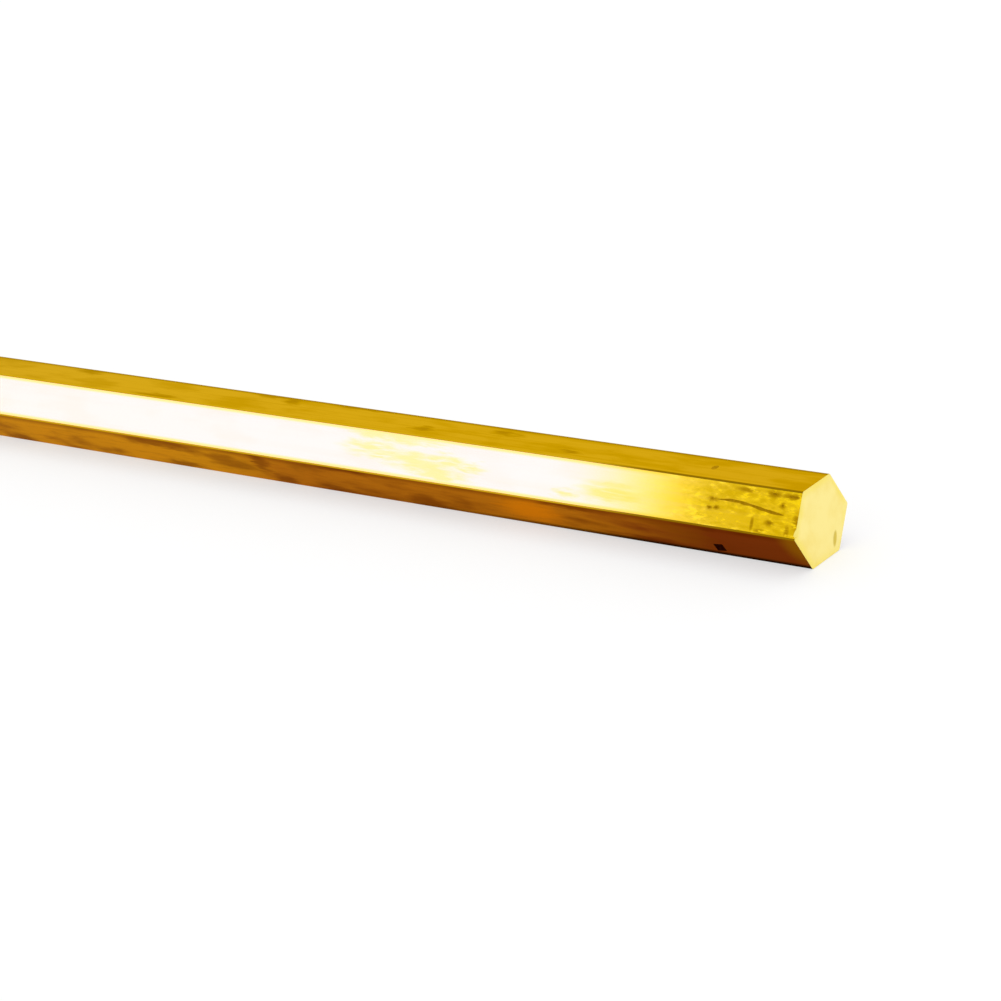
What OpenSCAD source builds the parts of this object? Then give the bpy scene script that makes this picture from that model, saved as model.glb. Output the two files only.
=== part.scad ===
// Hexagonal bar stock: one solid bar, drawn to a hexagon and sawn to length.
// It lies on one flat along X. The origin is the middle of that flat.

/* [Section] */
// Width across flats
across_flats = 19.05; // [6:0.05:50]
// Radius that the drawing die leaves on the six long corners
corner_radius = 0.5; // [0.2:0.05:1]

/* [Cut] */
// Length between the two sawn ends
bar_length = 304.8; // [100:0.1:1000]
// Width of the edge broken by deburring, round both ends
edge_break = 0.2; // [0.1:0.05:0.6]

/* [Hidden] */
sides = 6;
side_angle = 360 / sides;
round_fn = 48;
half_flats = across_flats / 2;
half_length = bar_length / 2;
// The corner arcs are centred on the points of a smaller hexagon, whose sides are the flat part of each side.
arc_centre_r = (half_flats - corner_radius) / cos(side_angle / 2);
flat_width = 2 * arc_centre_r * sin(side_angle / 2);

// Hexagon with rounded corners, one flat facing +Y: a slab across each pair of flats, and a disc in each corner.
module bar_section() {
    for (i = [0 : sides / 2 - 1])
        rotate(i * side_angle)
            square([flat_width, across_flats], center = true);
    for (i = [0 : sides - 1])
        rotate(i * side_angle)
            translate([arc_centre_r, 0])
                circle(r = corner_radius, $fn = round_fn);
    circle(r = arc_centre_r, $fn = sides);
}

// Block whose lower corner takes a 45 degree strip off the edge between one flat and the end at +Z.
module edge_cutter() {
    reach = 4 * edge_break;
    translate([0, half_flats, half_length - edge_break])
        rotate([45, 0, 0])
            translate([-across_flats, 0, -reach])
                cube([2 * across_flats, reach, 2 * reach]);
}

// The bar lies along X on its lower flat.
module hex_bar() {
    color("goldenrod")
        translate([0, 0, half_flats])
            rotate([90, 0, 90])
                difference() {
                    linear_extrude(height = bar_length, center = true) bar_section();
                    for (end = [0, 1], i = [0 : sides - 1])
                        mirror([0, 0, end])
                            rotate(i * side_angle)
                                edge_cutter();
                }
}

hex_bar();
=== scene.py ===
"""Looks of a hexagonal brass bar: a drawn and tarnished skin, pale sawn ends and the marks of handling."""

import math

import bmesh
import bpy
from mathutils import Matrix, Vector


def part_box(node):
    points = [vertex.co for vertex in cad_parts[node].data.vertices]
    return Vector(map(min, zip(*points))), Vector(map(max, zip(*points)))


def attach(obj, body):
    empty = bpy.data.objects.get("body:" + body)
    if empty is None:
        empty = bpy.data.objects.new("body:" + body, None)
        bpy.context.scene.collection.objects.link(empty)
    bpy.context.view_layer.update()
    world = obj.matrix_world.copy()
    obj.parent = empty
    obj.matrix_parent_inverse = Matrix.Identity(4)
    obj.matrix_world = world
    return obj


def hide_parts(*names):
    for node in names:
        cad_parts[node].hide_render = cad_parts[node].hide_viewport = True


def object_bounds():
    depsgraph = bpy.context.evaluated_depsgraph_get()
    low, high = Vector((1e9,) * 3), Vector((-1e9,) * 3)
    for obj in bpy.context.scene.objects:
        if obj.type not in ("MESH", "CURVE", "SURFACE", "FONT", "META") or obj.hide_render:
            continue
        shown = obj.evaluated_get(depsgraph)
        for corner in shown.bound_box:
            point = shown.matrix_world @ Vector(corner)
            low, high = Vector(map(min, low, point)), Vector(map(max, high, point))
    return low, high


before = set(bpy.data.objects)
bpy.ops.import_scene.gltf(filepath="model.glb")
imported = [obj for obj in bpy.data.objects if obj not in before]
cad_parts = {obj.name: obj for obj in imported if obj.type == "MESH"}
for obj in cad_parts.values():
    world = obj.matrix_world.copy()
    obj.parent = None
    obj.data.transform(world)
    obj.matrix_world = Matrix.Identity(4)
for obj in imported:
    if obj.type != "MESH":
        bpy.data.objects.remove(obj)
cad_low, cad_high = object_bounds()

# Drawn skin
# The flats are brass as it leaves the drawing die: bright, with fine lines along the bar.
# Storage has tarnished them. The flats that face down are browner and darker, partly tarnish and partly
# painted shade of the shadowed floor that they mirror. The front flat is cleaner, but it is rubbed dull in
# places and mottled with stains near the sawn end.
SKIN_BRIGHT = (0.66, 0.375, 0.022)
SKIN_ROUGHNESS = (0.055, 0.10)
DRAW_LINE_DEPTH = 0.000003
TARNISH = (0.48, 0.245, 0.006)
TARNISH_SPOT = (0.37, 0.17, 0.004)
RUBBED = (0.64, 0.362, 0.006)
RUBBED_ROUGHNESS = 0.12
MOTTLE = (0.55, 0.305, 0.005)
MOTTLE_BRIGHT = (0.84, 0.51, 0.025)
STAIN = (0.32, 0.15, 0.001)
CORNER_GOLD = (0.66, 0.40, 0.012)
# Painted shade for the dark line that the rounded corners mirror.
CORNER_SHADE = (0.29, 0.155, 0.002)
# Colours of the flats that face down: partly tarnish, partly painted shade of the shadowed floor they mirror.
UNDER_GOLD = (0.64, 0.30, 0.008)
UNDER_BROWN = (0.46, 0.165, 0.008)
UNDER_DARK = (0.165, 0.024, 0.006)
UNDER_ORANGE = (0.64, 0.21, 0.005)
UNDER_RED = (0.10, 0.008, 0.003)
UNDER_END_SHADE = (0.24, 0.090, 0.004)
# Painted contact shade: a dark line along the bar's foot, where it meets the bench.
CONTACT_SHADE = (0.036, 0.008, 0.001)
# Colours that the metal takes on at a glancing angle. The browner one on the flats that face down is part of
# their painted shade.
SKIN_GLANCE = (0.95, 0.80, 0.415)
UNDER_GLANCE = (0.93, 0.62, 0.485)

# Noise cells per metre along X, Y and Z.
DRAW_LINE_CELLS = (6, 5200, 5200)
BROAD_LINE_CELLS = (9, 900, 900)
CLOUD_CELLS = (55, 210, 210)
RAGGED_CELLS = (170, 900, 900)
COARSE_CELLS = (130, 200, 200)
FINE_CELLS = (420, 1000, 1000)
STREAK_CELLS = (120, 1300, 1300)
RAGGED_SHIFT = (0.010, 0.004, 0)

# Noise levels where a layer starts to show and where it shows fully, and how strong it is there.
TARNISH_CLOUDS = (0.44, 0.66, 0.6)
TARNISH_LINES = (0.48, 0.72, 0.35)
TOP_SPOT_STREAKS = (0.25, 0.50, 0.85)
RUBBED_STREAKS = (0.22, 0.50, 0.75)
MOTTLE_GRAIN = (0.47, 0.60, 0.85)
BRIGHT_GRAIN = (0.48, 0.38, 0.8)
STAIN_GRAIN = (0.30, 0.52, 0.9)
UNDER_CLOUDS = (0.46, 0.75, 0.6)
UNDER_STREAKS = (0.50, 0.75, 0.2)
ROUGHNESS_LINES = (0.3, 0.7)
NOISE_MIDDLE = 0.5
# How much of the tarnish the front flat has, and how much of the mottle's grain is fine.
TARNISH_ON_FRONT = 0.12
FINE_SHARE = 0.7

# Distances from the sawn end where a layer starts and where it is full, and how far clouds shift them.
MOTTLE_REACH = (0.040, 0.022)
MOTTLE_WANDER = 0.03
# Where the flats that face down turn brown, then dark with painted shade, towards the sawn end.
BROWN_REACH = (0.190, 0.150)
DARK_REACH = (0.068, 0.024)
UNDER_WANDER = 0.07
# Where the front corners' painted shade line starts and where it is full.
CORNER_SHADE_REACH = (0.065, 0.040)
# How far from the sawn end the painted contact shade reaches, and where it is full.
CONTACT_SHADE_REACH = (0.16, 0.01)

# Distances in from a corner, a flat or its edge where a layer starts and where it is full, and its strength.
CORNER_BAND = (0.00014, 0.00005)
# A wider painted shade line along the corners at the back.
BACK_CORNER_BAND = (0.0006, 0.00018, 0.85)
FLAT_BAND = (0.0003, 0.00008)
WORN_EDGE_BAND = (0.0013, 0.0005, 0.9)
# The same as heights above the bar's axis, and for the painted contact shade above the bench.
UNDER_BAND = (0.0, -0.0004)
# A band of painted shade along the upper edge of the flats that face down.
UNDER_EDGE_SHADE_BAND = (-0.0022, -0.0004, 0.5)
CONTACT_SHADE_BAND = (0.0015, 0.0005)

# Each patch is its place from the sawn end and across the flat from the flat's centre line, its half length
# and its half width. It fades in between these two shares of its half size.
PATCH_EDGE = (1.35, 0.3)
RUBBED_PATCHES = (
    (0.1273, 0.0046, 0.010, 0.0016), (0.1200, 0.0042, 0.009, 0.0016), (0.1110, 0.0046, 0.010, 0.0013),
    (0.1264, 0.0007, 0.011, 0.0020), (0.1146, -0.0007, 0.010, 0.0028), (0.1077, -0.0024, 0.009, 0.0022),
    (0.1043, -0.0035, 0.009, 0.0014), (0.1035, 0.0001, 0.008, 0.0018), (0.0971, -0.0004, 0.007, 0.0014),
    (0.1612, 0.0046, 0.004, 0.0003), (0.0663, -0.0030, 0.004, 0.0012), (0.0528, -0.0012, 0.009, 0.0024),
)
STAIN_PATCHES = (
    (0.0077, -0.0025, 0.0014, 0.0008), (0.0245, -0.0010, 0.0011, 0.0007), (0.0226, -0.0008, 0.0011, 0.0006),
    (0.0238, 0.0010, 0.0016, 0.0007), (0.0048, 0.0018, 0.0009, 0.0008), (0.0074, 0.0041, 0.0024, 0.0010),
    (0.0024, 0.0040, 0.0034, 0.0009), (0.0006, -0.0014, 0.0012, 0.0020), (0.0028, -0.0040, 0.0007, 0.0016),
    (0.0150, 0.0042, 0.0030, 0.0006), (0.0123, -0.0032, 0.0005, 0.0018), (0.0100, -0.0046, 0.0016, 0.0005),
)
CLEAN_PATCHES = ((0.0172, -0.0027, 0.0060, 0.0022),)
TOP_PATCHES = (
    (0.2387, 0.0040, 0.006, 0.0018), (0.1710, 0.0046, 0.006, 0.0014), (0.1628, 0.0034, 0.003, 0.0020),
    (0.1150, -0.0012, 0.003, 0.0012), (0.0913, 0.0022, 0.005, 0.0016), (0.0688, -0.0022, 0.003, 0.0010),
    (0.2050, -0.0046, 0.010, 0.0014), (0.1400, 0.0048, 0.012, 0.0010),
)
ORANGE_PATCHES = ((0.0790, 0.0005, 0.010, 0.0052),)
RED_PATCHES = (
    (0.2622, -0.0046, 0.006, 0.0024), (0.2019, 0.0036, 0.014, 0.0018), (0.1977, -0.0044, 0.008, 0.0018),
    (0.1662, 0.0030, 0.003, 0.0060), (0.1610, -0.0040, 0.005, 0.0026), (0.1370, 0.0050, 0.008, 0.0012),
    (0.1430, -0.0048, 0.010, 0.0018), (0.1136, -0.0036, 0.006, 0.0036), (0.0640, 0.0046, 0.010, 0.0012),
    (0.0460, -0.0044, 0.014, 0.0018), (0.0235, 0.0048, 0.0035, 0.0009), (0.0130, 0.0048, 0.0050, 0.0009),
)
RED_STRENGTH = 0.6
# A patch of painted shade on the flats that face down, at the sawn end.
UNDER_END_SHADE_PATCHES = ((0.0, 0.0036, 0.0050, 0.0075),)

bar_low, bar_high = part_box("hex_bar")
SAWN_END = bar_high.x
HALF_FLATS = (bar_high.z - bar_low.z) / 2
HALF_CORNERS = (bar_high.y - bar_low.y) / 2
BAR_AXIS_Z = bar_low.z + HALF_FLATS
SIDES = 6
SIDE_ANGLE = 2 * math.pi / SIDES
HALF_WIDTH = HALF_FLATS * math.tan(SIDE_ANGLE / 2)
TOP, FRONT, UNDER = 0, 1, 2


def new_material(name):
    """A material whose node tree is empty, and that tree."""
    material = bpy.data.materials.new(name)
    material.use_nodes = True
    material.node_tree.nodes.clear()
    return material, material.node_tree


def add(tree, kind, inputs=None, **settings):
    """Adds a node. Inputs go by socket name or number, and each is a plain value or another node's output."""
    node = tree.nodes.new(kind)
    for key, value in settings.items():
        setattr(node, key, value)
    for key, value in (inputs or {}).items():
        if isinstance(value, bpy.types.NodeSocket):
            tree.links.new(value, node.inputs[key])
        else:
            node.inputs[key].default_value = value
    return node


def calc(tree, operation, *values):
    """The output of one Math node."""
    return add(tree, "ShaderNodeMath", dict(enumerate(values)), operation=operation).outputs[0]


def vector_calc(tree, operation, *values, output="Vector"):
    """An output of one Vector Math node."""
    return add(tree, "ShaderNodeVectorMath", dict(enumerate(values)), operation=operation).outputs[output]


def ramp(tree, value, low, high, at_low=0.0, at_high=1.0, kind="LINEAR"):
    """A value that runs from at_low, where the input is at low, to at_high, where it is at high."""
    inputs = {"Value": value, "From Min": low, "From Max": high, "To Min": at_low, "To Max": at_high}
    return add(tree, "ShaderNodeMapRange", inputs, interpolation_type=kind).outputs["Result"]


def fade(tree, value, start, full, strength=1.0):
    """A smooth step from 0, where the input is at start, up to the strength, where it is at full."""
    return ramp(tree, value, start, full, 0.0, strength, kind="SMOOTHSTEP")


def band(tree, value, edge, near, full, strength=1.0):
    """A layer along an edge, which starts at the distance near and has its strength at the distance full."""
    return fade(tree, value, edge - near, edge - full, strength)


def noise(tree, place, cells, detail=4.0, output="Fac"):
    """Noise with so many cells a metre along X, Y and Z."""
    scaled = add(tree, "ShaderNodeMapping", {"Vector": place, "Scale": cells}).outputs[0]
    return add(tree, "ShaderNodeTexNoise", {"Vector": scaled, "Scale": 1.0, "Detail": detail}).outputs[output]


def lay(tree, under, over, cover):
    """One colour laid over another as far as the cover says. A colour is an RGB triple or a node's output."""
    mix = add(tree, "ShaderNodeMix", {"Factor": cover}, data_type="RGBA")
    # A Mix node's colour sockets come after its sockets for numbers and vectors.
    for socket, colour in ((mix.inputs[6], under), (mix.inputs[7], over)):
        if isinstance(colour, bpy.types.NodeSocket):
            tree.links.new(colour, socket)
        else:
            socket.default_value = (*colour, 1.0)
    return mix.outputs[2]


def across_and_out(tree, y, above_axis, side):
    """How far a place lies across one flat from its centre line, and outwards from the bar's axis."""
    sine, cosine = math.sin(side * SIDE_ANGLE), math.cos(side * SIDE_ANGLE)
    across = calc(tree, "MULTIPLY_ADD", above_axis, sine, calc(tree, "MULTIPLY", y, cosine))
    outward = calc(tree, "MULTIPLY_ADD", above_axis, cosine, calc(tree, "MULTIPLY", y, -sine))
    return across, outward


drawn_skin, skin = new_material("drawn_skin")
place = add(skin, "ShaderNodeTexCoord").outputs["Object"]
x, y, z = add(skin, "ShaderNodeSeparateXYZ", {0: place}).outputs
from_end = calc(skin, "SUBTRACT", SAWN_END, x)
above_axis = calc(skin, "SUBTRACT", z, BAR_AXIS_Z)
draw_lines = noise(skin, place, DRAW_LINE_CELLS)
broad_lines = noise(skin, place, BROAD_LINE_CELLS)
clouds = noise(skin, place, CLOUD_CELLS)
ragged = noise(skin, place, RAGGED_CELLS, output="Color")
coarse = noise(skin, place, COARSE_CELLS)
fine = noise(skin, place, FINE_CELLS)
streaks = noise(skin, place, STREAK_CELLS)

# Places on three of the flats, exact and shifted a little by noise, so that patches get ragged edges.
flat_place = {}
ragged_place = {}
on_flat = {}
shift = vector_calc(skin, "MULTIPLY", vector_calc(skin, "SUBTRACT", ragged, [NOISE_MIDDLE] * 3), RAGGED_SHIFT)
for side in (TOP, FRONT, UNDER):
    across, outward = across_and_out(skin, y, above_axis, side)
    flat_place[side] = add(skin, "ShaderNodeCombineXYZ", {"X": from_end, "Y": across}).outputs[0]
    ragged_place[side] = vector_calc(skin, "ADD", flat_place[side], shift)
    on_flat[side] = band(skin, outward, HALF_FLATS, *FLAT_BAND)


def cover_patches(place_on_flat, patches):
    """How much soft patches cover a flat."""
    cover = 0.0
    for back, across, half_length, half_width in patches:
        spot = add(skin, "ShaderNodeMapping", {
            "Vector": place_on_flat, "Location": (-back / half_length, -across / half_width, 0),
            "Scale": (1 / half_length, 1 / half_width, 0)}).outputs[0]
        distance = vector_calc(skin, "LENGTH", spot, output="Value")
        cover = calc(skin, "MAXIMUM", cover, fade(skin, distance, *PATCH_EDGE))
    return cover


def wander(level, amount):
    """The distance from the sawn end, shifted to and fro by noise."""
    return calc(skin, "MULTIPLY_ADD", calc(skin, "SUBTRACT", level, NOISE_MIDDLE), amount, from_end)


def both(first, second):
    """Where one cover and the other overlap."""
    return calc(skin, "MULTIPLY", first, second)


# Tarnish clouds the whole skin, but the front flat only lightly.
open_skin = ramp(skin, on_flat[FRONT], 0.0, 1.0, 1.0, TARNISH_ON_FRONT)
colour = lay(skin, SKIN_BRIGHT, TARNISH, both(fade(skin, clouds, *TARNISH_CLOUDS), open_skin))
colour = lay(skin, colour, TARNISH, both(fade(skin, broad_lines, *TARNISH_LINES), open_skin))
top_spots = both(cover_patches(ragged_place[TOP], TOP_PATCHES), fade(skin, streaks, *TOP_SPOT_STREAKS))
colour = lay(skin, colour, TARNISH_SPOT, both(top_spots, on_flat[TOP]))

# The front flat's rubbed patches and edges, and its mottled stains near the sawn end. The mottle's grain
# mixes coarse and fine noise.
rubbed = both(cover_patches(ragged_place[FRONT], RUBBED_PATCHES), fade(skin, streaks, *RUBBED_STREAKS))
front_across, _ = across_and_out(skin, y, above_axis, FRONT)
worn_edge = band(skin, calc(skin, "ABSOLUTE", front_across), HALF_WIDTH, *WORN_EDGE_BAND)
rubbed = both(calc(skin, "MAXIMUM", rubbed, worn_edge), on_flat[FRONT])
colour = lay(skin, colour, RUBBED, rubbed)
mottled = both(fade(skin, wander(coarse, MOTTLE_WANDER), *MOTTLE_REACH), on_flat[FRONT])
grain = ramp(skin, FINE_SHARE, 0.0, 1.0, coarse, fine)
colour = lay(skin, colour, MOTTLE_BRIGHT, both(mottled, fade(skin, grain, *BRIGHT_GRAIN)))
clean = cover_patches(ragged_place[FRONT], CLEAN_PATCHES)
dull = both(mottled, calc(skin, "SUBTRACT", 1.0, clean))
colour = lay(skin, colour, MOTTLE, both(dull, fade(skin, grain, *MOTTLE_GRAIN)))
stained = both(cover_patches(flat_place[FRONT], STAIN_PATCHES), fade(skin, fine, *STAIN_GRAIN))
colour = lay(skin, colour, STAIN, both(stained, on_flat[FRONT]))

# The rounded corners carry a painted shade line, the dark that they mirror, except that the front ones are
# golden away from the sawn end.
from_axis = calc(skin, "SQRT", calc(
    skin, "ADD", calc(skin, "POWER", y, 2.0), calc(skin, "POWER", above_axis, 2.0)))
on_corner = band(skin, from_axis, HALF_CORNERS, *CORNER_BAND)
at_back = calc(skin, "GREATER_THAN", y, 0.0)
corner_shaded = calc(skin, "MAXIMUM", fade(skin, from_end, *CORNER_SHADE_REACH), at_back)
colour = lay(skin, colour, lay(skin, CORNER_GOLD, CORNER_SHADE, corner_shaded), on_corner)
back_corner_shade = band(skin, from_axis, HALF_CORNERS, *BACK_CORNER_BAND)
colour = lay(skin, colour, CORNER_SHADE, both(back_corner_shade, at_back))

# The flats that face down are golden at the far end, brown in the middle and dark towards the sawn end, with
# red clouds and streaks and red and orange patches: partly tarnish, partly painted shade of the shadowed
# floor they mirror. The band along their upper edge and the patch at the sawn end are painted shade only.
# Painted contact shade, dark and not metal, runs along the foot where the bar stands on the bench.
downward = fade(skin, above_axis, *UNDER_BAND)
under_wander = wander(clouds, UNDER_WANDER)
under = lay(skin, UNDER_GOLD, UNDER_BROWN, fade(skin, under_wander, *BROWN_REACH))
under = lay(skin, under, UNDER_DARK, fade(skin, under_wander, *DARK_REACH))
under = lay(skin, under, UNDER_RED, fade(skin, clouds, *UNDER_CLOUDS))
under = lay(skin, under, UNDER_RED, fade(skin, streaks, *UNDER_STREAKS))
under = lay(skin, under, UNDER_ORANGE, cover_patches(ragged_place[UNDER], ORANGE_PATCHES))
red_patches = cover_patches(ragged_place[UNDER], RED_PATCHES)
under = lay(skin, under, UNDER_RED, calc(skin, "MULTIPLY", red_patches, RED_STRENGTH))
under = lay(skin, under, UNDER_RED, fade(skin, above_axis, *UNDER_EDGE_SHADE_BAND))
under = lay(skin, under, UNDER_END_SHADE, cover_patches(flat_place[UNDER], UNDER_END_SHADE_PATCHES))
colour = lay(skin, colour, under, downward)
# Painted contact shade along the foot, deepest towards the sawn end.
contact_shade = both(fade(skin, z, *CONTACT_SHADE_BAND), fade(skin, from_end, *CONTACT_SHADE_REACH))
colour = lay(skin, colour, CONTACT_SHADE, contact_shade)

roughness = ramp(skin, broad_lines, *ROUGHNESS_LINES, *SKIN_ROUGHNESS)
roughness = ramp(skin, rubbed, 0.0, 1.0, roughness, RUBBED_ROUGHNESS)
relief = calc(skin, "ADD", broad_lines, draw_lines)
bump = add(skin, "ShaderNodeBump", {"Distance": DRAW_LINE_DEPTH, "Height": relief}).outputs[0]
# The painted contact shade is no metal, so it mirrors nothing.
metallic = ramp(skin, contact_shade, 0.0, 1.0, 1.0, 0.0)
glance = lay(skin, SKIN_GLANCE, UNDER_GLANCE, downward)
surface = add(skin, "ShaderNodeBsdfPrincipled", {
    "Base Color": colour, "Metallic": metallic, "Roughness": roughness, "Normal": bump,
    "Specular IOR Level": 0.0, "Specular Tint": glance})
add(skin, "ShaderNodeOutputMaterial", {"Surface": surface.outputs[0]})

# Sawn ends
# The saw leaves clean metal that hasn't tarnished, so the ends are paler and much duller than the skin.
# Fine straight tooth lines cross each end face, and a file has broken its edges.
SAWN_PALE = (1.0, 0.86, 0.32)
SAWN_DEEP = (0.95, 0.76, 0.20)
SAWN_RIM = (0.97, 0.80, 0.13)
SAWN_ROUGHNESS = 0.46
SAWN_CLOUD_CELLS = (160, 160, 160)
SAWN_CLOUDS = (0.42, 0.70, 0.6)
RIM_BAND = (0.0022, 0.0002, 0.6)
RIM_CLOUDS = (0.30, 0.55)
TOOTH_CELLS = (60, 900, 5200)
TOOTH_DEPTH = 0.000004
DENT_PLACE = (0.0042, -0.0060)
DENT_HALF_SIZE = (0.0006, 0.0016)
DENT_DEPTH = 0.00012
DENT_SHADE_DEPTH = 0.001
DENT_TURN = math.radians(-18)
# Painted shade in the dent on the end.
DENT_SHADE = (0.72, 0.55, 0.08)
DENT_EDGE = (1.45, 0.85, 0.9)

sawn_face, sawn = new_material("sawn_face")
place = add(sawn, "ShaderNodeTexCoord").outputs["Object"]
clouds = noise(sawn, place, SAWN_CLOUD_CELLS)
colour = lay(sawn, SAWN_PALE, SAWN_DEEP, fade(sawn, clouds, *SAWN_CLOUDS))
# The file has left the rim a little yellower.
_, y, z = add(sawn, "ShaderNodeSeparateXYZ", {0: place}).outputs
above_axis = calc(sawn, "SUBTRACT", z, BAR_AXIS_Z)
from_middle = 0.0
for side in (TOP, FRONT, UNDER):
    _, outward = across_and_out(sawn, y, above_axis, side)
    from_middle = calc(sawn, "MAXIMUM", from_middle, calc(sawn, "ABSOLUTE", outward))
rim = band(sawn, from_middle, HALF_FLATS, *RIM_BAND)
colour = lay(sawn, colour, SAWN_RIM, calc(sawn, "MULTIPLY", rim, fade(sawn, clouds, *RIM_CLOUDS)))
# One dent low on the end towards +X gets a painted shade, a little darker.
dent_spot = Vector((SAWN_END, DENT_PLACE[0], BAR_AXIS_Z + DENT_PLACE[1]))
dent = add(sawn, "ShaderNodeMapping", {
    "Vector": place, "Location": dent_spot, "Rotation": (DENT_TURN, 0, 0),
    "Scale": (DENT_SHADE_DEPTH, *DENT_HALF_SIZE)}, vector_type="TEXTURE").outputs[0]
from_dent = vector_calc(sawn, "LENGTH", dent, output="Value")
colour = lay(sawn, colour, DENT_SHADE, fade(sawn, from_dent, *DENT_EDGE))
teeth = noise(sawn, place, TOOTH_CELLS)
bump = add(sawn, "ShaderNodeBump", {"Distance": TOOTH_DEPTH, "Height": teeth}).outputs[0]
surface = add(sawn, "ShaderNodeBsdfPrincipled", {
    "Base Color": colour, "Metallic": 1.0, "Roughness": SAWN_ROUGHNESS, "Normal": bump})
add(sawn, "ShaderNodeOutputMaterial", {"Surface": surface.outputs[0]})

# Handling marks
# Knocks and scrapes from the rack, the saw and other bars. Each is a shallow cut into the metal: a deep one
# is black, grime together with painted shade in its hollow, a shallow one dull with oxide, and a chip or dent
# at the end shows bare metal, the dent with a little painted shade.
# The nick's black is grime together with painted shade in its hollow.
GRIME_AND_SHADE = (0.030, 0.003, 0.001)
GRIME_AND_SHADE_PALE = (0.050, 0.008, 0.002)
OXIDE = (0.40, 0.205, 0.002)
OXIDE_PALE = (0.50, 0.27, 0.004)
CUT_ROUGHNESS = 0.6
CUT_CELLS = (1500, 1500, 1500)
CUT_CLOUDS = (0.4, 0.65)
GRIMED_AND_SHADED, DULLED, BARED = 1, 2, 3


def dull_cut(name, dark, pale):
    """A dull surface that varies between two colours: oxide in the shallow cuts, grime with painted shade in
    the nick.
    """
    material, tree = new_material(name)
    place = add(tree, "ShaderNodeTexCoord").outputs["Object"]
    colour = lay(tree, dark, pale, fade(tree, noise(tree, place, CUT_CELLS), *CUT_CLOUDS))
    surface = add(tree, "ShaderNodeBsdfPrincipled", {
        "Base Color": colour, "Roughness": CUT_ROUGHNESS, "Specular IOR Level": 0.0})
    add(tree, "ShaderNodeOutputMaterial", {"Surface": surface.outputs[0]})
    return material


grime_and_shade_cut = dull_cut("grime_and_shade_cut", GRIME_AND_SHADE, GRIME_AND_SHADE_PALE)
dulled_cut = dull_cut("dulled_cut", OXIDE, OXIDE_PALE)

# The scratch's points are places from the sawn end and across the front flat, each with its width.
SCRATCH = (
    (0.0226, 0.0011, 0.0001), (0.0208, 0.0012, 0.0004), (0.0190, 0.0013, 0.0007), (0.0164, 0.0012, 0.0006),
    (0.0150, 0.0010, 0.0008), (0.0136, 0.0009, 0.0005), (0.0107, 0.0004, 0.0008), (0.0093, 0.0002, 0.0006),
    (0.0079, 0.0, 0.0008), (0.0060, -0.0002, 0.0006), (0.0042, -0.0003, 0.0002),
)
SCRATCH_SLOPE = 0.3
# Each pit is its place from the sawn end and across the flat, its length and its width.
FRONT_PITS = (
    (0.0077, -0.0025, 0.0012, 0.0006), (0.0245, -0.0010, 0.0009, 0.0005), (0.0226, -0.0008, 0.0009, 0.0004),
    (0.0240, 0.0011, 0.0008, 0.0005), (0.0048, 0.0018, 0.0006, 0.0006), (0.0074, 0.0041, 0.0014, 0.0005),
    (0.0022, 0.0040, 0.0026, 0.0005),
)
PIT_DEPTH = 0.00006
DISH_SUBDIVISIONS = 3
TOP_PIT = (0.0282, 0.0003, 0.0015, 0.0022)
TOP_PIT_DEPTH = 0.00012
# Corners of the nick and of the chip, as places from the sawn end, across the flat and outwards.
NICK = (
    (0.0258, -0.0014, 0.00002), (0.0230, -0.0010, 0.00002), (0.0228, -0.0036, 0.00002),
    (0.0256, -0.0041, 0.00002), (0.0244, -0.0028, -0.0006),
)
CHIP = (
    (0.0, -0.0026, 0.0), (0.0005, -0.0035, 0.0), (0.0007, -0.0046, 0.0), (0.0, -0.0051, 0.0),
    (0.0, -0.0034, -0.0005), (0.0, -0.0046, -0.0006), (-0.0006, -0.0029, 0.0006), (-0.0006, -0.0048, 0.0006),
)


def flat_frame(side):
    """Axes of one flat: X along the bar, then across the flat, then outwards, from the flat's sawn end."""
    turn = Matrix.Rotation(side * SIDE_ANGLE, 4, "X")
    return Matrix.Translation((SAWN_END, 0, BAR_AXIS_Z)) @ turn @ Matrix.Translation((0, 0, HALF_FLATS))


cutters = bmesh.new()
cut_kind = cutters.faces.layers.int.new("cut_kind")


def name_cut(kind):
    """Marks the faces made since the last call as one kind of cut."""
    for face in cutters.faces:
        if face[cut_kind] == 0:
            face[cut_kind] = kind


def cut_dish(kind, at, half_size):
    """A lens that cuts an oval dish."""
    size = Matrix.Diagonal((*half_size, 1))
    bmesh.ops.create_icosphere(cutters, subdivisions=DISH_SUBDIVISIONS, radius=1.0, matrix=at @ size)
    name_cut(kind)


def cut_pit(side, kind, pit, depth):
    """A dish in a flat."""
    back, across, length, width = pit
    cut_dish(kind, flat_frame(side) @ Matrix.Translation((-back, across, 0)), (length / 2, width / 2, depth))


def cut_scratch(side, kind, route):
    """A thin rod of diamond section along the route, whose lower half cuts a V-shaped groove."""
    rings = []
    for back, across, width in route:
        half = width / 2
        deep = half * SCRATCH_SLOPE
        points = [(-back, across + aside, up) for aside, up in ((half, 0), (0, -deep), (-half, 0), (0, deep))]
        rings.append([cutters.verts.new(flat_frame(side) @ Vector(point)) for point in points])
    for first, second in zip(rings, rings[1:]):
        for i in range(len(first)):
            cutters.faces.new((first[i], first[i - 1], second[i - 1], second[i]))
    cutters.faces.new(rings[0])
    cutters.faces.new(reversed(rings[-1]))
    name_cut(kind)


def cut_wedge(side, kind, corners):
    """A solid with straight faces between these corners."""
    points = [Vector((-back, across, up)) for back, across, up in corners]
    bmesh.ops.convex_hull(cutters, input=[cutters.verts.new(flat_frame(side) @ point) for point in points])
    name_cut(kind)


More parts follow.
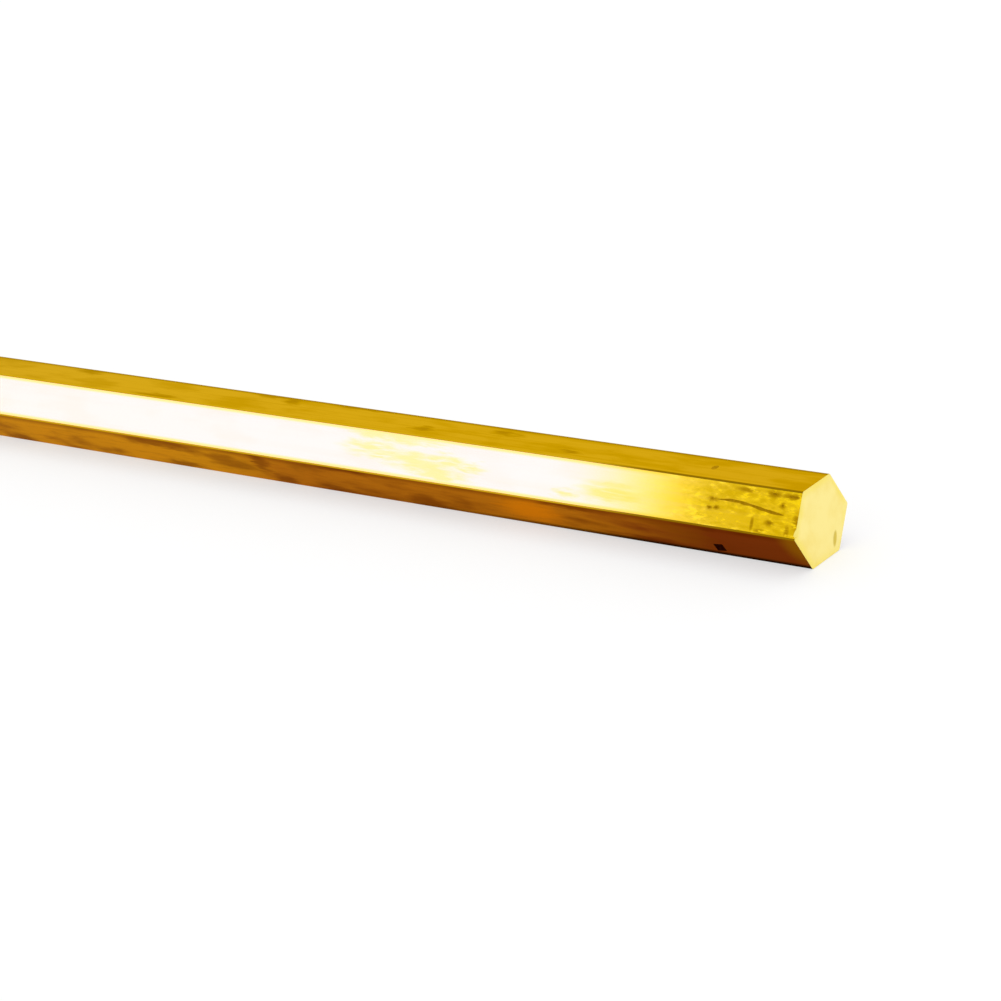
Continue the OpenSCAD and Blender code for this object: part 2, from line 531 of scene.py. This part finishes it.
cut_scratch(FRONT, DULLED, SCRATCH)
for pit in FRONT_PITS:
    cut_pit(FRONT, DULLED, pit, PIT_DEPTH)
cut_pit(TOP, DULLED, TOP_PIT, TOP_PIT_DEPTH)
cut_wedge(UNDER, GRIMED_AND_SHADED, NICK)
cut_wedge(FRONT, BARED, CHIP)
dent_at = Matrix.Translation(dent_spot) @ Matrix.Rotation(DENT_TURN, 4, "X")
cut_dish(BARED, dent_at, (DENT_DEPTH, *DENT_HALF_SIZE))
bmesh.ops.recalc_face_normals(cutters, faces=cutters.faces)
mark_mesh = bpy.data.meshes.new("handling_marks")
cutters.to_mesh(mark_mesh)
cutters.free()
handling_marks = bpy.data.objects.new("handling_marks", mark_mesh)
bpy.context.scene.collection.objects.link(handling_marks)

# Hexagonal bar
# One solid bar of brass, pulled through a hexagonal die that rounds its six corners, then sawn to length and
# deburred. It lies on one flat and is one piece all through.
BAR_LENGTH = bar_high.x - bar_low.x
SHARP_CORNERS = HALF_FLATS / math.cos(SIDE_ANGLE / 2)
CORNER_RADIUS = (SHARP_CORNERS - HALF_CORNERS) / (1 / math.cos(SIDE_ANGLE / 2) - 1)
CORNER_STEPS = 6
EDGE_BREAK = 0.0002
RING_SPACING = 0.005
# A face's normal leans along the bar by less than this on the bar's sides, and by more than this on its ends.
SIDE_LEAN = 0.1
END_LEAN = 0.5
# A face whose normal is this close to a flat's belongs to that flat.
FLAT_MATCH = 0.9999
# Nodes tell whole numbers apart with this margin.
HALF_STEP = 0.5


def swept_bar():
    """Geometry nodes that sweep a rounded hexagon along the bar, break the end edges and cut the marks."""
    tree = bpy.data.node_groups.new("swept_bar", "GeometryNodeTree")
    tree.interface.new_socket("Geometry", in_out="OUTPUT", socket_type="NodeSocketGeometry")
    sockets = {}
    for name, kind in (
        ("Length", "Float"), ("Axis Height", "Float"), ("Sharp Corners", "Float"), ("Corner Radius", "Float"),
        ("Edge Break", "Float"), ("Rings", "Int"), ("Marks", "Object"), ("Skin", "Material"),
        ("Sawn", "Material"), ("Grime And Shade", "Material"), ("Dulled", "Material"),
    ):
        socket = tree.interface.new_socket(name, in_out="INPUT", socket_type="NodeSocket" + kind)
        sockets[name] = socket.identifier
    given = tree.nodes.new("NodeGroupInput").outputs

    hexagon = add(tree, "GeometryNodeCurvePrimitiveCircle", {
        "Resolution": SIDES, "Radius": given["Sharp Corners"]})
    section = add(tree, "GeometryNodeFilletCurve", {
        "Curve": hexagon.outputs[0], "Radius": given["Corner Radius"]}, mode="POLY")
    section.inputs["Count"].default_value = CORNER_STEPS

    # The second ring and the last but one stand an edge break in from the ends.
    index = add(tree, "GeometryNodeInputIndex").outputs[0]
    last = calc(tree, "SUBTRACT", given["Rings"], 1)
    is_first = calc(tree, "LESS_THAN", index, HALF_STEP)
    is_last = calc(tree, "GREATER_THAN", index, calc(tree, "SUBTRACT", last, HALF_STEP))
    share = calc(tree, "DIVIDE", calc(tree, "SUBTRACT", index, 1), calc(tree, "SUBTRACT", last, 2))
    share = add(tree, "ShaderNodeClamp", {"Value": share}).outputs[0]
    between_breaks = calc(tree, "MULTIPLY_ADD", given["Edge Break"], -2, given["Length"])
    along = calc(tree, "MULTIPLY_ADD", share, between_breaks, calc(tree, "DIVIDE", between_breaks, -2))
    along = calc(tree, "MULTIPLY_ADD", calc(tree, "SUBTRACT", is_last, is_first), given["Edge Break"], along)
    spot = add(tree, "ShaderNodeCombineXYZ", {"X": along, "Z": given["Axis Height"]}).outputs[0]
    spine = add(tree, "GeometryNodeCurvePrimitiveLine", {"End": (1, 0, 0)}).outputs[0]
    spine = add(tree, "GeometryNodeResampleCurve", {"Curve": spine, "Count": given["Rings"]}).outputs[0]
    spine = add(tree, "GeometryNodeSetPosition", {"Geometry": spine, "Position": spot}).outputs[0]

    half_flats = calc(tree, "MULTIPLY", given["Sharp Corners"], math.cos(SIDE_ANGLE / 2))
    shrink = calc(tree, "DIVIDE", given["Edge Break"], half_flats)
    scale = calc(tree, "SUBTRACT", 1, calc(tree, "MULTIPLY", calc(tree, "ADD", is_first, is_last), shrink))
    bar = add(tree, "GeometryNodeCurveToMesh", {
        "Curve": spine, "Profile Curve": section.outputs[0], "Scale": scale, "Fill Caps": True}).outputs[0]
    marks = add(tree, "GeometryNodeObjectInfo", {"Object": given["Marks"]}).outputs["Geometry"]
    bar = add(tree, "GeometryNodeMeshBoolean", {
        "Mesh 1": bar, "Mesh 2": marks, "Self Intersection": True},
        operation="DIFFERENCE", solver="EXACT").outputs[0]

    normal = add(tree, "GeometryNodeInputNormal").outputs[0]
    lean = calc(tree, "ABSOLUTE", add(tree, "ShaderNodeSeparateXYZ", {0: normal}).outputs["X"])
    cut = add(tree, "GeometryNodeInputNamedAttribute", {"Name": "cut_kind"}, data_type="INT").outputs[0]
    bar = add(tree, "GeometryNodeRealizeInstances", {"Geometry": bar}).outputs[0]
    for chosen, finish in (
        (True, "Skin"),
        (calc(tree, "GREATER_THAN", lean, END_LEAN), "Sawn"),
        (calc(tree, "COMPARE", cut, BARED, HALF_STEP), "Sawn"),
        (calc(tree, "COMPARE", cut, GRIMED_AND_SHADED, HALF_STEP), "Grime And Shade"),
        (calc(tree, "COMPARE", cut, DULLED, HALF_STEP), "Dulled"),
    ):
        bar = add(tree, "GeometryNodeSetMaterial", {
            "Geometry": bar, "Selection": chosen, "Material": given[finish]}).outputs[0]
    add(tree, "NodeGroupOutput", {"Geometry": bar})
    return tree, sockets


tree, sockets = swept_bar()
maker = bpy.data.objects.new("bar_maker", bpy.data.meshes.new("bar_maker"))
bpy.context.scene.collection.objects.link(maker)
sweep = maker.modifiers.new("swept_bar", "NODES")
sweep.node_group = tree
for name, value in {
    "Length": BAR_LENGTH, "Axis Height": BAR_AXIS_Z, "Sharp Corners": SHARP_CORNERS,
    "Corner Radius": CORNER_RADIUS, "Edge Break": EDGE_BREAK, "Rings": round(BAR_LENGTH / RING_SPACING),
    "Marks": handling_marks, "Skin": drawn_skin, "Sawn": sawn_face, "Grime And Shade": grime_and_shade_cut,
    "Dulled": dulled_cut,
}.items():
    sweep[sockets[name]] = value
graph = bpy.context.evaluated_depsgraph_get()
bar_mesh = bpy.data.meshes.new_from_object(maker.evaluated_get(graph), depsgraph=graph)
bar_mesh.name = "brass_bar"
# The boolean leaves an empty slot in front of the materials.
bar_mesh.materials.pop(index=0)
brass_bar = bpy.data.objects.new("brass_bar", bar_mesh)
bpy.context.scene.collection.objects.link(brass_bar)
bpy.data.objects.remove(maker)
bpy.data.objects.remove(handling_marks)

# The rounded corners and the cuts are shaded smooth. The flats aren't, so that each stays a true mirror.
FLAT_NORMALS = [Matrix.Rotation(i * SIDE_ANGLE, 3, "X") @ Vector((0, 0, 1)) for i in range(SIDES)]
kinds = bar_mesh.attributes["cut_kind"].data
for polygon in bar_mesh.polygons:
    is_flat = max(polygon.normal.dot(flat) for flat in FLAT_NORMALS) > FLAT_MATCH
    is_cut = kinds[polygon.index].value in (GRIMED_AND_SHADED, DULLED)
    polygon.use_smooth = is_cut or not is_flat and abs(polygon.normal.x) < SIDE_LEAN

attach(brass_bar, "root")
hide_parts("hex_bar")

# Floor
# A plain pale table top that the bar lies on, wide enough to fill the view from any side.
# It is matt, and has some light of its own so that it shows nearly white.
FLOOR_COLOUR = (0.45, 0.45, 0.45)
FLOOR_LIFT = 0.57
FLOOR_HALF = 12.0
FLOOR_GAP = 0.00005

table_top, tree = new_material("table_top")
rays = add(tree, "ShaderNodeLightPath").outputs
seen = calc(tree, "MAXIMUM", rays["Is Camera Ray"], rays["Is Glossy Ray"])
matt = add(tree, "ShaderNodeBsdfDiffuse", {"Color": (*FLOOR_COLOUR, 1.0)})
lift = add(tree, "ShaderNodeEmission", {"Strength": calc(tree, "MULTIPLY", seen, FLOOR_LIFT)})
surface = add(tree, "ShaderNodeAddShader", {0: matt.outputs[0], 1: lift.outputs[0]})
add(tree, "ShaderNodeOutputMaterial", {"Surface": surface.outputs[0]})
mesh = bpy.data.meshes.new("floor")
floor_z = cad_low.z - FLOOR_GAP
corners = [(sx * FLOOR_HALF, sy * FLOOR_HALF, floor_z) for sx, sy in ((-1, -1), (1, -1), (1, 1), (-1, 1))]
mesh.from_pydata(corners, [], [(0, 1, 2, 3)])
mesh.materials.append(table_top)
floor = bpy.data.objects.new("floor", mesh)
bpy.context.scene.collection.objects.link(floor)

# Camera
# It stands in front of the bar's right end and looks down on it through a long lens.
# It is turned a little about its line of sight.
CAMERA_PLACE = Vector((0.53414, -0.53085, 0.28967))
CAMERA_AZIMUTH = math.radians(41.928)
CAMERA_ELEVATION = math.radians(21.971)
CAMERA_ROLL = math.radians(9.472)
CAMERA_LENS = 112.878
CAMERA_SENSOR = 36.0
CAMERA_REACH = (0.01, 100.0)

lens = bpy.data.cameras.new("camera")
lens.lens = CAMERA_LENS
lens.sensor_width = CAMERA_SENSOR
lens.clip_start, lens.clip_end = CAMERA_REACH
camera = bpy.data.objects.new("camera", lens)
back = Vector((math.sin(CAMERA_AZIMUTH) * math.cos(CAMERA_ELEVATION),
               -math.cos(CAMERA_AZIMUTH) * math.cos(CAMERA_ELEVATION), math.sin(CAMERA_ELEVATION)))
level_view = (-back).to_track_quat("-Z", "Y").to_matrix()
camera.rotation_euler = (level_view @ Matrix.Rotation(-CAMERA_ROLL, 3, "Z")).to_euler()
camera.location = CAMERA_PLACE
bpy.context.scene.collection.objects.link(camera)
bpy.context.scene.camera = camera
bpy.context.scene.view_settings.view_transform = "Standard"

# Studio light
# Broad light from above, behind and the right, a darker front left, and in it one bright card that the front
# flat mirrors.
WORLD_BRIGHT = 1.0
WORLD_DIM = 0.75
WORLD_TOWARDS = (0.5, 0.6, 0.8)
WORLD_FADE = (-0.2, 0.35)
OVERHEAD_SIZE = 1.2
OVERHEAD_PLACE = Vector((0, 0.25, 1.3))
OVERHEAD_POWER = 1.0
CARD_DISTANCE = 0.70
CARD_HALF_HEIGHT = 0.07
CARD_MIDDLE = 0.10
CARD_ENDS = (0.33, -0.05)
# Brightness of the card that the front flat mirrors, at these distances from the sawn end.
CARD_STOPS = (
    (0.0620, (2.4, 2.58, 43.0)), (0.0520, (2.2, 2.52, 26.0)), (0.0450, (2.1, 2.44, 12.0)),
    (0.0365, (1.8, 2.22, 2.4)), (0.0308, (1.45, 1.8, 0.2)), (0.0262, (1.20, 1.36, 0.2)),
)

world = bpy.data.worlds.new("studio")
world.use_nodes = True
bpy.context.scene.world = world
tree = world.node_tree
tree.nodes.clear()
direction = add(tree, "ShaderNodeTexCoord").outputs["Generated"]
facing = vector_calc(tree, "DOT_PRODUCT", direction, WORLD_TOWARDS, output="Value")
level = ramp(tree, facing, *WORLD_FADE, WORLD_DIM, WORLD_BRIGHT, kind="SMOOTHSTEP")
sky = add(tree, "ShaderNodeBackground", {"Color": (1, 1, 1, 1), "Strength": level})
add(tree, "ShaderNodeOutputWorld", {"Surface": sky.outputs[0]})

lamp = bpy.data.lights.new("overhead", "AREA")
lamp.size = OVERHEAD_SIZE
lamp.energy = OVERHEAD_POWER
overhead = bpy.data.objects.new("overhead", lamp)
overhead.location = OVERHEAD_PLACE
overhead.rotation_euler = OVERHEAD_PLACE.to_track_quat("Z", "Y").to_euler()
overhead.visible_glossy = False
bpy.context.scene.collection.objects.link(overhead)

# The card stands square to the sight line that the front flat mirrors at the card's middle.
front_normal = FLAT_NORMALS[FRONT]


def mirrored(back):
    """A place on the front flat, so far back from the sawn end, and the way a sight line goes on there."""
    spot = flat_frame(FRONT) @ Vector((-back, 0, 0))
    return spot, (spot - CAMERA_PLACE).normalized().reflect(front_normal)


middle_spot, card_towards = mirrored(CARD_MIDDLE)
card_place = middle_spot + card_towards * CARD_DISTANCE


def on_card(back):
    """The place on the card's plane that the front flat mirrors."""
    spot, way = mirrored(back)
    return spot + way * ((card_place - spot).dot(card_towards) / way.dot(card_towards))


card_along = (on_card(CARD_ENDS[1]) - on_card(CARD_ENDS[0])).normalized()
card_up = card_towards.cross(card_along)


def along_card(back):
    """How far along the card that place is from the card's middle."""
    return (on_card(back) - card_place).dot(card_along)


card_white, tree = new_material("card_white")
place = add(tree, "ShaderNodeTexCoord").outputs["Object"]
along = add(tree, "ShaderNodeSeparateXYZ", {0: place}).outputs["X"]
colour = CARD_STOPS[0][1]
for (start, _), (stop, next_colour) in zip(CARD_STOPS, CARD_STOPS[1:]):
    colour = lay(tree, colour, next_colour, ramp(tree, along, along_card(start), along_card(stop)))
# Light that the bar would throw on from the card to the floor is left out.
bounces = add(tree, "ShaderNodeLightPath").outputs["Diffuse Depth"]
seen = calc(tree, "LESS_THAN", bounces, HALF_STEP)
surface = add(tree, "ShaderNodeEmission", {"Color": colour, "Strength": seen})
add(tree, "ShaderNodeOutputMaterial", {"Surface": surface.outputs[0]})
mesh = bpy.data.meshes.new("light_card")
left, right = along_card(CARD_ENDS[0]), along_card(CARD_ENDS[1])
mesh.from_pydata([
    (left, -CARD_HALF_HEIGHT, 0), (right, -CARD_HALF_HEIGHT, 0),
    (right, CARD_HALF_HEIGHT, 0), (left, CARD_HALF_HEIGHT, 0)], [], [(0, 1, 2, 3)])
mesh.materials.append(card_white)
light_card = bpy.data.objects.new("light_card", mesh)
light_card.location = card_place
light_card.rotation_euler = Matrix((card_along, card_up, card_towards)).transposed().to_euler()
bpy.context.scene.collection.objects.link(light_card)
light_card.visible_camera = False
light_card.visible_diffuse = False
light_card.visible_shadow = False
